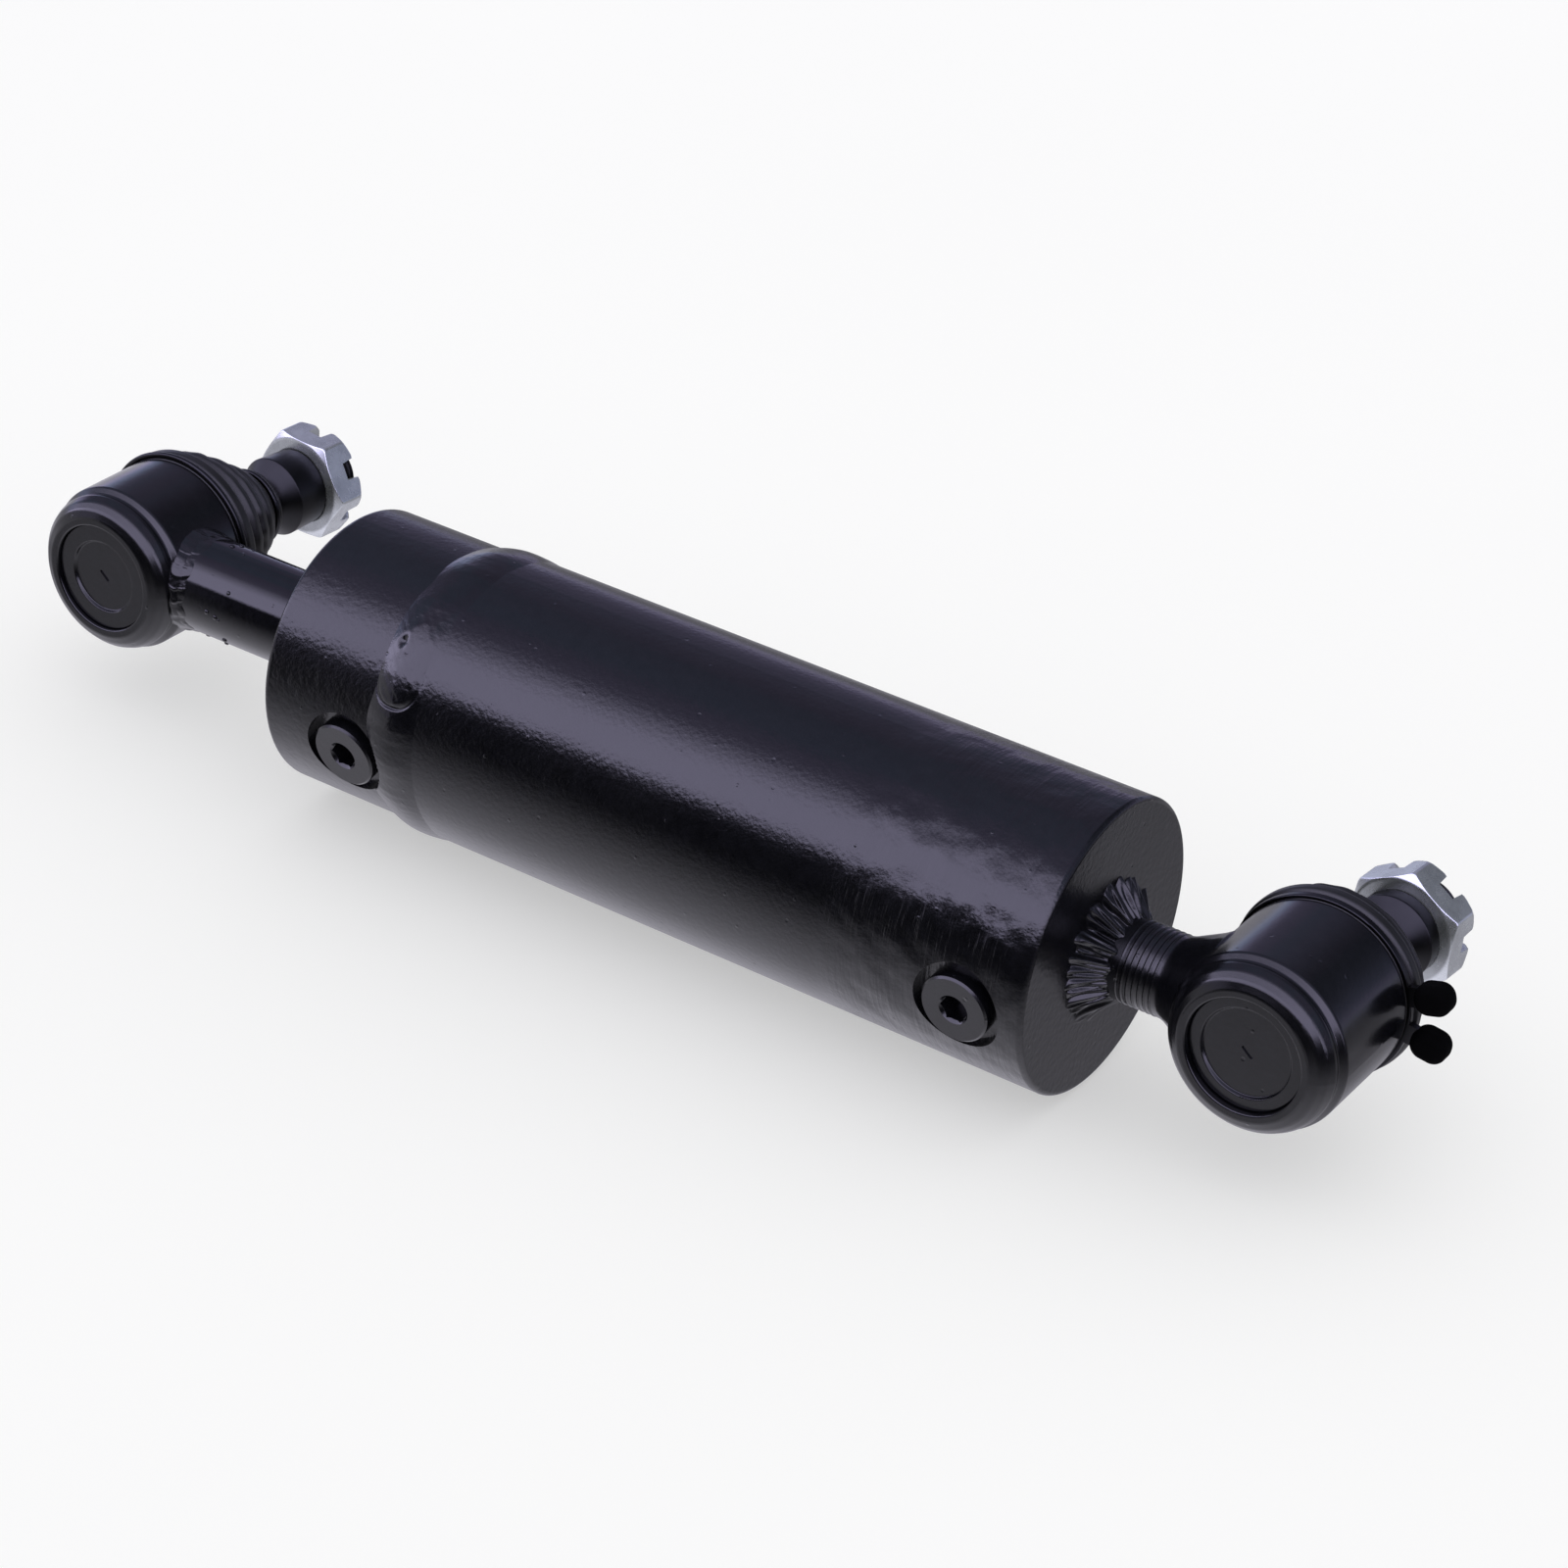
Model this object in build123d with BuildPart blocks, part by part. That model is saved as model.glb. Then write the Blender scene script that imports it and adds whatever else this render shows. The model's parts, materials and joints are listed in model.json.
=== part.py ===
from build123d import *
import os
from math import cos, radians, sin, sqrt

# A double-acting welded hydraulic cylinder with a ball joint at each end, retracted.
# The origin is the centre of the cap-end ball. X runs along the cylinder with the rod end
# towards -X, the ball studs point towards +Y, and Z is up.

# Driving dimensions, mm and degrees
BORE_R = 31.5
TUBE_R = 36.5
HEAD_R = 35.5
ROD_R = 12.5
STROKE = 105.0
JOINT_SPACING = 336.0  # ball centre to ball centre, retracted
BALL_R = 10.5
STUD_LEAN = 4.0  # how far both studs lean towards the cap end at rest
CAP_PORT_TURN = 8.2  # ports point this far below -Y
HEAD_PORT_TURN = 12.5
RUNNING_GAP = 0.05  # radial clearance of every sliding or turning fit
SEAT_GAP = 0.1  # clearance between a ball and its seat

# Stations along the cylinder
CAP_FACE_X = -46.0
CAP_WELD_X = -84.0
CAP_SPIGOT_X = -88.0
PISTON_CAP_X = CAP_SPIGOT_X - 1.0
PISTON_LENGTH = 22.0
PISTON_ROD_X = PISTON_CAP_X - PISTON_LENGTH
HEAD_SPIGOT_X = PISTON_ROD_X - STROKE - 0.5
HEAD_WELD_X = -226.0
HEAD_FACE_X = -265.5
CAP_PORT_X = -63.3
HEAD_PORT_X = -240.4
ROD_JOINT_X = -JOINT_SPACING

# Weld preparation shared by both ends of the tube
VEE_HALF = 4.0
VEE_ROOT_R = 32.2
SPIGOT_R = BORE_R - 0.05

# Rod bore of the head
BUSH_R = 14.5
SEAL_R = 17.0
WIPER_R = 17.5
LAND_R = 13.0
BUSH_OUTER_X = -250.0
SEAL_X = (-258.0, -252.0)
WIPER_X = -260.5

# Ports
PORT_RECESS_R = 11.3
PORT_THREAD_R = 7.15
PORT_RING_R = 8.7
PORT_RING_DEPTH = 2.0
PORT_THREAD_DEPTH = 12.5
PLUG_HEAD_R = 8.8
PLUG_HEAD_T = 4.2
PLUG_SHANK = 10.5
HEX_AF = 6.35
HEX_DEPTH = 4.5
CAP_PORT_FLOOR = 33.2
HEAD_PORT_FLOOR = 31.9

# Piston and its nut
PISTON_R = 31.2
PISTON_GROOVE_R = 29.2
SEAL_GROOVE_R = 27.2
GUIDE_W = 5.0
SEAL_W = 5.5
SPIGOT_ROD_R = 9.0
PISTON_NUT_AF = 24.0
PISTON_NUT_H = 12.0
NUT_POCKET_R = 15.5

# Ball joints
JOINT_R = 22.1
SEAT_R = 13.95
PLATE_R = 14.35
MOUTH_R = 15.0  # the mouth that the stud swings in, at the housing's rear face
MOUTH_ROOT_R = 9.9
SHANK_R = 10.0
NECK_R = 6.5
STUD_BIG_R = 10.8
STUD_THREAD_R = 9.0
STUD_NUT_AF = 27.0
STUD_NUT_H = 11.0
NUT_SLOT_W = 5.0
NUT_SLOT_DEPTH = 5.0

SIN60 = sqrt(3) / 2
PISTON_MID = (PISTON_CAP_X + PISTON_ROD_X) / 2


class Joint:
    """Where one ball joint stands, and how far its parts reach along the stud."""

    def __init__(self, x, front, groove, rear, plate, neck_end, nut_face, nut_turn):
        self.x = x
        self.front = front
        self.groove = groove
        self.rear = rear
        self.plate_face = plate
        self.plate_back = plate + 2.0
        self.neck_end = neck_end
        self.nut_face = nut_face
        self.nut_turn = nut_turn
        self.plane = Plane(origin=(x, 0, 0), x_dir=(1, 0, 0), z_dir=(0, 0, 1))
        self.axis = Axis((x, 0, 0), (0, 1, 0))
        lean = radians(STUD_LEAN)
        self.stud_dir = Vector(sin(lean), cos(lean), 0)
        self.stud_plane = Plane(origin=(x, 0, 0), x_dir=(cos(lean), -sin(lean), 0), z_dir=(0, 0, 1))
        self.stud_axis = Axis((x, 0, 0), tuple(self.stud_dir))

    def across_stud(self, along):
        """A plane across the stud, with its normal towards the stud's tip."""
        origin = Vector(self.x, 0, 0) + self.stud_dir * along
        return Plane(origin=origin, x_dir=self.stud_plane.x_dir, z_dir=self.stud_dir)


CAP_JOINT = Joint(x=0, front=-19.0, groove=-13.4, rear=17.4, plate=-17.2, neck_end=43.0, nut_face=51.0, nut_turn=32)
ROD_JOINT = Joint(
    x=ROD_JOINT_X, front=-16.4, groove=-10.6, rear=13.4, plate=-15.2, neck_end=44.5, nut_face=58.0, nut_turn=2
)


def outline(corners):
    """A closed line through (along, radius, corner rounding) triples, on a plane drawn along X."""
    FilletPolyline(*[(a, r) for a, r, _ in corners], radius=[c for _, _, c in corners], close=True)


def upright_outline(corners):
    """The same, on a plane drawn with the radius across and the length up."""
    FilletPolyline(*[(r, a) for a, r, _ in corners], radius=[c for _, _, c in corners], close=True)


def turned_on_cylinder(corners):
    """A piece turned about the cylinder's own axis."""
    with BuildPart() as piece:
        with BuildSketch(Plane.XZ):
            with BuildLine():
                outline(corners)
            make_face()
        revolve(axis=Axis.X)
    return piece


def turned_on_joint(joint, corners):
    """A piece turned about a joint housing's axis."""
    with BuildPart() as piece:
        with BuildSketch(joint.plane):
            with BuildLine():
                upright_outline(corners)
            make_face()
        revolve(axis=joint.axis)
    return piece


def round_ring(plane, centre, minor):
    """An O-ring; plane is drawn through its axis, which is the plane's X."""
    with BuildPart() as ring:
        with BuildSketch(plane):
            with Locations(centre):
                Circle(minor)
        revolve(axis=Axis(plane.origin, plane.x_dir))
    return ring


def port_plane(x, turn, height):
    """The plane of a port's mouth, height from the cylinder's axis, facing out."""
    out = Vector(0, -cos(radians(turn)), -sin(radians(turn)))
    return Plane(origin=Vector(x, 0, 0) + out * height, x_dir=(1, 0, 0), z_dir=out)


def cut_port(x, turn, floor, depth, passage_r, passage_depth):
    """Cut the spot face, the O-ring counterbore, the tapped hole and the passage of a port."""
    steps = (
        (PORT_RECESS_R, -TUBE_R),
        (PORT_RING_R, PORT_RING_DEPTH),
        (PORT_THREAD_R, depth),
        (passage_r, passage_depth),
    )
    for radius, deep in steps:
        with BuildSketch(port_plane(x, turn, floor)) as mouth:
            Circle(radius)
        extrude(mouth.sketch, amount=-deep, mode=Mode.SUBTRACT)


def barrel_tube():
    return turned_on_cylinder(
        [
            (CAP_WELD_X, BORE_R, 0),
            (CAP_WELD_X, VEE_ROOT_R, 0),
            (CAP_WELD_X - VEE_HALF, TUBE_R, 0),
            (HEAD_WELD_X + VEE_HALF, TUBE_R, 0),
            (HEAD_WELD_X, VEE_ROOT_R, 0),
            (HEAD_WELD_X, BORE_R, 0),
        ]
    )


def end_cap():
    pocket_x = -72.0
    feed_x = -60.0
    feed_r = 6.0
    shank_hole_x = -58.0
    with BuildPart() as cap:
        with BuildSketch(Plane.XZ):
            with BuildLine():
                outline(
                    [
                        (CAP_FACE_X, SHANK_R + 0.05, 0.5),
                        (CAP_FACE_X, TUBE_R, 1.2),
                        (CAP_WELD_X + VEE_HALF, TUBE_R, 0),
                        (CAP_WELD_X, VEE_ROOT_R, 0),
                        (CAP_WELD_X, SPIGOT_R, 0),
                        (CAP_SPIGOT_X, SPIGOT_R, 0.5),
                        (CAP_SPIGOT_X, NUT_POCKET_R, 0.5),
                        (pocket_x, NUT_POCKET_R, 0),
                        (pocket_x, feed_r, 0),
                        (feed_x, feed_r, 0),
                        (feed_x, 0, 0),
                        (shank_hole_x, 0, 0),
                        (shank_hole_x, SHANK_R + 0.05, 0),
                    ]
                )
            make_face()
        revolve(axis=Axis.X)
        cut_port(CAP_PORT_X, CAP_PORT_TURN, CAP_PORT_FLOOR, PORT_THREAD_DEPTH, 3.5, CAP_PORT_FLOOR)
    return cap


def cap_weld():
    """The seam between tube and cap, ground flush with both."""
    return turned_on_cylinder(
        [
            (CAP_WELD_X - VEE_HALF, TUBE_R, 0),
            (CAP_WELD_X + VEE_HALF, TUBE_R, 0),
            (CAP_WELD_X, VEE_ROOT_R, 0),
        ]
    )


def rod_head():
    gallery_radius = 24.0
    gallery_r = 3.0
    with BuildPart() as head:
        with BuildSketch(Plane.XZ):
            with BuildLine():
                outline(
                    [
                        (HEAD_SPIGOT_X, SPIGOT_R, 0.5),
                        (HEAD_WELD_X, SPIGOT_R, 0),
                        (HEAD_WELD_X, VEE_ROOT_R, 0),
                        (HEAD_WELD_X - VEE_HALF, HEAD_R, 0),
                        (HEAD_FACE_X, HEAD_R, 1.6),
                        (HEAD_FACE_X, WIPER_R, 0),
                        (WIPER_X, WIPER_R, 0),
                        (WIPER_X, LAND_R, 0),
                        (SEAL_X[0], LAND_R, 0),
                        (SEAL_X[0], SEAL_R, 0),
                        (SEAL_X[1], SEAL_R, 0),
                        (SEAL_X[1], LAND_R, 0),
                        (BUSH_OUTER_X, LAND_R, 0),
                        (BUSH_OUTER_X, BUSH_R, 0),
                        (HEAD_SPIGOT_X, BUSH_R, 0.5),
                    ]
                )
            make_face()
        revolve(axis=Axis.X)
        cut_port(HEAD_PORT_X, HEAD_PORT_TURN, HEAD_PORT_FLOOR, PORT_THREAD_DEPTH - 1.5, 1.0, PORT_THREAD_DEPTH - 1.5)
        gallery = port_plane(HEAD_SPIGOT_X, HEAD_PORT_TURN, gallery_radius).origin
        with BuildSketch(Plane(origin=gallery, x_dir=(0, 1, 0), z_dir=(-1, 0, 0))):
            Circle(gallery_r)
        extrude(amount=HEAD_SPIGOT_X - HEAD_PORT_X, mode=Mode.SUBTRACT)
    return head


def head_weld():
    """The raised bead that joins the head to the tube, cut back where the port's recess meets it."""
    toe = 6.5
    crown = 1.1
    with BuildPart() as bead:
        with BuildSketch(Plane.XZ):
            with BuildLine():
                outline(
                    [
                        (HEAD_WELD_X, VEE_ROOT_R, 0),
                        (HEAD_WELD_X - VEE_HALF, HEAD_R, 0),
                        (HEAD_WELD_X - toe, HEAD_R, 0),
                        (HEAD_WELD_X - toe + 1.8, TUBE_R + 0.4, 1.5),
                        (HEAD_WELD_X - 0.5, TUBE_R + crown, 3.0),
                        (HEAD_WELD_X + 5.0, TUBE_R + 0.7, 2.0),
                        (HEAD_WELD_X + toe + 1.5, TUBE_R, 0),
                        (HEAD_WELD_X + VEE_HALF, TUBE_R, 0),
                    ]
                )
            make_face()
        revolve(axis=Axis.X)
        with BuildSketch(port_plane(HEAD_PORT_X, HEAD_PORT_TURN, HEAD_PORT_FLOOR)):
            Circle(PORT_RECESS_R)
        extrude(amount=TUBE_R, mode=Mode.SUBTRACT)
    return bead


def rod_bushing():
    return turned_on_cylinder(
        [
            (BUSH_OUTER_X, ROD_R + RUNNING_GAP, 0.4),
            (BUSH_OUTER_X, BUSH_R, 0.3),
            (HEAD_SPIGOT_X - 1.5, BUSH_R, 0.3),
            (HEAD_SPIGOT_X - 1.5, ROD_R + RUNNING_GAP, 0.4),
        ]
    )


def rod_seal():
    """A U-cup with its lips towards the pressure side."""
    left, right = SEAL_X[0] + 0.1, SEAL_X[1] - 0.1
    inner = ROD_R + RUNNING_GAP
    return turned_on_cylinder(
        [
            (left, inner, 0.3),
            (left, SEAL_R, 0.3),
            (right, SEAL_R, 0.2),
            (right, SEAL_R - 1.4, 0.2),
            (right - 2.6, (SEAL_R + inner) / 2, 0.5),
            (right, inner + 1.4, 0.2),
            (right, inner, 0.2),
        ]
    )


def rod_wiper():
    inner = ROD_R + RUNNING_GAP
    return turned_on_cylinder(
        [
            (WIPER_X, inner, 0.2),
            (WIPER_X, WIPER_R, 0.2),
            (HEAD_FACE_X + 0.6, WIPER_R, 0.3),
            (HEAD_FACE_X + 1.8, inner + 2.4, 0.5),
            (HEAD_FACE_X + 0.1, inner + 0.9, 0.2),
            (HEAD_FACE_X + 0.1, inner, 0.2),
        ]
    )


def port_plug(x, turn, floor):
    """A plug with a round head, a threaded shank and a hexagon socket."""
    with BuildPart() as plug:
        with BuildSketch(port_plane(x, turn, floor)):
            Circle(PLUG_HEAD_R)
        extrude(amount=PLUG_HEAD_T)
        chamfer(plug.faces().sort_by(Axis((0, 0, 0), port_plane(x, turn, floor).z_dir))[-1].edges(), 0.5)
        with BuildSketch(port_plane(x, turn, floor)):
            Circle(PORT_THREAD_R - 0.02)
        extrude(amount=-PLUG_SHANK)
        with BuildSketch(port_plane(x, turn, floor + PLUG_HEAD_T)):
            RegularPolygon(HEX_AF / 2, 6, major_radius=False)
        extrude(amount=-HEX_DEPTH, mode=Mode.SUBTRACT)
        with BuildSketch(port_plane(x, turn, floor + PLUG_HEAD_T)):
            Circle(HEX_AF / 2 / SIN60 + 0.2)
        extrude(amount=-0.7, taper=40, mode=Mode.SUBTRACT)
    return plug


def port_oring(x, turn, floor):
    section_r = (PORT_RING_R - PORT_THREAD_R) / 2 - 0.02
    mouth = port_plane(x, turn, floor)
    through_axis = Plane(origin=mouth.origin, x_dir=mouth.z_dir, z_dir=mouth.x_dir)
    return round_ring(through_axis, (-PORT_RING_DEPTH / 2, (PORT_RING_R + PORT_THREAD_R) / 2), section_r)


def piston():
    """The piston, with a guide ring groove near each face and the seal groove between them."""
    guide = GUIDE_W / 2
    seal = SEAL_W / 2
    guide_offset = PISTON_LENGTH / 2 - 1.5 - guide
    corners = [(PISTON_ROD_X, PISTON_R, 0.6)]
    for middle, half, floor in (
        (PISTON_MID - guide_offset, guide, PISTON_GROOVE_R),
        (PISTON_MID, seal, SEAL_GROOVE_R),
        (PISTON_MID + guide_offset, guide, PISTON_GROOVE_R),
    ):
        corners += [
            (middle - half, PISTON_R, 0),
            (middle - half, floor, 0),
            (middle + half, floor, 0),
            (middle + half, PISTON_R, 0),
        ]
    corners += [(PISTON_CAP_X, PISTON_R, 0.6), (PISTON_CAP_X, SPIGOT_ROD_R + 0.02, 0)]
    corners += [(PISTON_MID + 2, SPIGOT_ROD_R + 0.02, 0), (PISTON_MID + 2, SPIGOT_ROD_R + 1.6, 0)]
    corners += [(PISTON_MID - 1, SPIGOT_ROD_R + 1.6, 0), (PISTON_MID - 1, SPIGOT_ROD_R + 0.02, 0)]
    corners += [(PISTON_ROD_X, SPIGOT_ROD_R + 0.02, 0)]
    return turned_on_cylinder(corners)


def piston_seal():
    half = SEAL_W / 2 - 0.1
    outer = BORE_R - RUNNING_GAP
    return turned_on_cylinder(
        [
            (PISTON_MID - half, PISTON_GROOVE_R, 0.2),
            (PISTON_MID - half, outer, 0.3),
            (PISTON_MID + half, outer, 0.3),
            (PISTON_MID + half, PISTON_GROOVE_R, 0.2),
        ]
    )


def piston_seal_expander():
    """The rubber ring that presses the piston seal out against the bore."""
    section_r = (PISTON_GROOVE_R - SEAL_GROOVE_R) / 2 - RUNNING_GAP
    return round_ring(Plane.XZ, (PISTON_MID, (PISTON_GROOVE_R + SEAL_GROOVE_R) / 2), section_r)


def piston_guide_rings():
    half = GUIDE_W / 2 - 0.1
    offset = PISTON_LENGTH / 2 - 1.5 - GUIDE_W / 2
    with BuildPart() as rings:
        for middle in (PISTON_MID - offset, PISTON_MID + offset):
            with BuildSketch(Plane.XZ):
                with Locations((middle, (BORE_R + PISTON_GROOVE_R) / 2)):
                    Rectangle(2 * half, BORE_R - PISTON_GROOVE_R - 2 * RUNNING_GAP)
            revolve(axis=Axis.X)
    return rings


def piston_oring():
    """The ring that seals the piston to its rod spigot."""
    section_r = 0.78
    return round_ring(Plane.XZ, (PISTON_MID + 0.5, SPIGOT_ROD_R + 0.8), section_r)


def piston_nut():
    with BuildPart() as nut:
        with BuildSketch(Plane(origin=(PISTON_CAP_X, 0, 0), x_dir=(0, 1, 0), z_dir=(1, 0, 0))):
            RegularPolygon(PISTON_NUT_AF / 2, 6, major_radius=False)
            Circle(SPIGOT_ROD_R + 0.02, mode=Mode.SUBTRACT)
        extrude(amount=PISTON_NUT_H)
        with BuildSketch(Plane.XZ):
            with BuildLine():
                outline(nut_corner_trim(PISTON_CAP_X, PISTON_CAP_X + PISTON_NUT_H, PISTON_NUT_AF / 2))
            make_face()
        revolve(axis=Axis.X, mode=Mode.INTERSECT)
    return nut


def nut_corner_trim(start, end, flat_r, crown_drop=0.4, crown_rise=1.1):
    """The turned blank that a nut's corners are chamfered to."""
    rise = 1.1
    corner_r = flat_r / SIN60 - 0.25
    return [
        (start, 0, 0),
        (start, flat_r - 0.4, 0),
        (start + rise, corner_r, 0),
        (end - crown_rise, corner_r, 0),
        (end, flat_r - crown_drop, 0),
        (end, 0, 0),
    ]


def piston_rod():
    """The rod, coped to the joint housing at one end and stepped for the piston at the other."""
    end_x = -74.0
    with BuildPart() as rod:
        with BuildSketch(Plane.XZ):
            with BuildLine():
                outline(
                    [
                        (ROD_JOINT_X + 15.0, 0, 0),
                        (ROD_JOINT_X + 15.0, ROD_R, 0),
                        (PISTON_ROD_X, ROD_R, 0.4),
                        (PISTON_ROD_X, SPIGOT_ROD_R, 0),
                        (end_x, SPIGOT_ROD_R, 1.0),
                        (end_x, 0, 0),
                    ]
                )
            make_face()
        revolve(axis=Axis.X)
        with BuildSketch(Plane.XZ):
            with Locations((ROD_JOINT_X, 0)):
                Circle(JOINT_R)
        extrude(amount=2 * ROD_R, both=True, mode=Mode.SUBTRACT)
    return rod


def housing_corners(joint):
    """Half the section of a joint housing: front lip, groove, body, stud mouth and ball bore."""
    mouth_start = 5.0
    return [
        (joint.front, PLATE_R + 0.05, 0.5),
        (joint.front, 16.4, 1.6),
        (joint.front + 1.0, 18.5, 2.5),
        (joint.front + 2.7, 20.1, 2.5),
        (joint.groove - 0.9, JOINT_R - 1.1, 1.5),
        (joint.groove + 0.6, JOINT_R - 1.5, 0.9),
        (joint.groove + 2.3, JOINT_R - 0.05, 1.2),
        (joint.rear, JOINT_R, 0.8),
        (joint.rear, MOUTH_R, 0.8),
        (mouth_start, MOUTH_ROOT_R, 0.4),
        (mouth_start, SEAT_R + 0.03, 0),
        (joint.plate_back, SEAT_R + 0.03, 0),
        (joint.plate_back, PLATE_R + 0.05, 0),
    ]


def ball_cavity(joint):
    """Open the inside of a housing, so that a neck added to it doesn't fill the bore."""
    with BuildSketch(joint.plane) as cavity:
        with BuildLine():
            upright_outline(
                [
                    (joint.front - 1, 0, 0),
                    (joint.front - 1, PLATE_R + 0.05, 0),
                    (joint.plate_back, PLATE_R + 0.05, 0),
                    (joint.plate_back, SEAT_R + 0.03, 0),
                    (5.0, SEAT_R + 0.03, 0),
                    (5.0, 0, 0),
                ]
            )
        make_face()
    revolve(cavity.sketch, axis=joint.axis, mode=Mode.SUBTRACT)


def cap_joint_housing():
    """The cap-end housing, forged with a necked shank that screws into the cap."""
    shank_end_x = -57.5
    with BuildPart() as housing:
        with BuildSketch(Plane.XZ):
            with BuildLine():
                outline(
                    [
                        (shank_end_x, 0, 0),
                        (shank_end_x, SHANK_R, 1.0),
                        (-26.5, SHANK_R, 7.0),
                        (-19.0, 13.8, 3.5),
                        (-16.6, 15.4, 0.5),
                        (-15.3, 15.6, 0),
                        (-15.3, 0, 0),
                    ]
                )
            make_face()
        revolve(axis=Axis.X)
        with BuildSketch(CAP_JOINT.plane):
            with BuildLine():
                upright_outline(housing_corners(CAP_JOINT))
            make_face()
        revolve(axis=CAP_JOINT.axis)
        ball_cavity(CAP_JOINT)
    return housing


def cap_joint_weld():
    """The fillet weld around the shank on the cap's face."""
    return turned_on_cylinder(
        [
            (CAP_FACE_X, SHANK_R + 0.02, 0),
            (CAP_FACE_X, 18.0, 0),
            (CAP_FACE_X + 2.2, 16.2, 1.5),
            (CAP_FACE_X + 6.5, 12.0, 2.5),
            (CAP_FACE_X + 10.0, SHANK_R + 0.02, 0),
        ]
    )


def rod_joint_housing():
    return turned_on_joint(ROD_JOINT, housing_corners(ROD_JOINT))


def rod_joint_weld():
    """The fillet weld between the rod and its joint housing."""
    start_x = ROD_JOINT_X + 16.0
    with BuildPart() as weld:
        with BuildSketch(Plane.XZ):
            with BuildLine():
                outline(
                    [
                        (start_x, ROD_R + 0.02, 0),
                        (start_x, 15.4, 0),
                        (ROD_JOINT_X + 19.5, 15.2, 1.0),
                        (ROD_JOINT_X + 23.5, 13.9, 1.5),
                        (ROD_JOINT_X + 27.5, ROD_R + 0.02, 0),
                    ]
                )
            make_face()
        revolve(axis=Axis.X)
        with BuildSketch(Plane.XZ):
            with Locations((ROD_JOINT_X, 0)):
                Circle(JOINT_R + 0.02)
        extrude(amount=2 * ROD_R, both=True, mode=Mode.SUBTRACT)
        with BuildSketch(Plane.XZ.offset(-(ROD_JOINT.rear - 0.2))):
            with Locations((ROD_JOINT_X, 0)):
                Circle(2 * JOINT_R)
        extrude(amount=-ROD_R, mode=Mode.SUBTRACT)
    return weld


def ball_seat(joint):
    """The upper seat ring, bored to the ball."""
    with BuildPart() as seat:
        with BuildSketch(joint.plane):
            with BuildLine():
                upright_outline([(-1.5, 5.0, 0), (-1.5, SEAT_R, 0.4), (4.98, SEAT_R, 0.4), (4.98, 5.0, 0)])
            make_face()
        revolve(axis=joint.axis)
        with Locations((joint.x, 0, 0)):
            Sphere(BALL_R + SEAT_GAP, mode=Mode.SUBTRACT)
    return seat


def pressure_pad(joint):
    """The lower seat, which the disc spring holds against the ball."""
    back = joint.plate_back + 1.4
    with BuildPart() as pad:
        with BuildSketch(joint.plane):
            with BuildLine():
                upright_outline([(back, 0, 0), (back, SEAT_R - 0.1, 0.6), (-2.5, SEAT_R - 0.1, 0.4), (-2.5, 0, 0)])
            make_face()
        revolve(axis=joint.axis)
        with Locations((joint.x, 0, 0)):
            Sphere(BALL_R + SEAT_GAP, mode=Mode.SUBTRACT)
    return pad


def disc_spring(joint):
    """A coned washer between the closing plate and the pad."""
    back = joint.plate_back
    return turned_on_joint(
        joint,
        [
            (back + 0.03, 12.8, 0),
            (back + 0.83, 12.8, 0),
            (back + 1.37, 6.0, 0),
            (back + 0.57, 6.0, 0),
        ],
    )


def closing_plate(joint, pan_r):
    """The plate crimped into the front of a housing, with a shallow round pan and a punch mark."""
    with BuildPart() as plate:
        with BuildSketch(joint.plane):
            with BuildLine():
                upright_outline(
                    [
                        (joint.plate_back, 0, 0),
                        (joint.plate_back, PLATE_R, 0.3),
                        (joint.plate_face, PLATE_R, 0.4),
                        (joint.plate_face, pan_r + 0.5, 0.3),
                        (joint.plate_face + 0.8, pan_r, 0.3),
                        (joint.plate_face + 0.8, 0, 0),
                    ]
                )
            make_face()
        revolve(axis=joint.axis)
        with BuildSketch(Plane(origin=(joint.x, joint.plate_face + 0.8, 0), x_dir=(1, 0, 0), z_dir=(0, -1, 0))):
            SlotOverall(3.6, 0.9, rotation=-40)
        extrude(amount=-0.4, mode=Mode.SUBTRACT)
    return plate


def ball_stud(joint):
    """Ball, neck, tapered seat and threaded end in one turned piece."""
    ball_top = sqrt(BALL_R**2 - NECK_R**2)
    tip = joint.nut_face + STUD_NUT_H + 2.5
    with BuildPart() as stud:
        with BuildSketch(joint.stud_plane):
            with BuildLine():
                ball = CenterArc((0, 0), BALL_R, -90, 90 + 51.7)
                Polyline(
                    ball @ 1,
                    (NECK_R, ball_top + 0.1),
                    (NECK_R, joint.neck_end),
                    (STUD_BIG_R, joint.neck_end + 4.0),
                    (STUD_BIG_R - (joint.nut_face - joint.neck_end - 4.0) * 0.05, joint.nut_face - 0.1),
                    (STUD_THREAD_R, joint.nut_face - 0.1),
                    (STUD_THREAD_R, tip - 1.2),
                    (STUD_THREAD_R - 1.2, tip),
                    (0, tip),
                    (0, -BALL_R),
                )
            make_face()
        revolve(axis=joint.stud_axis)
    return stud


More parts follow.
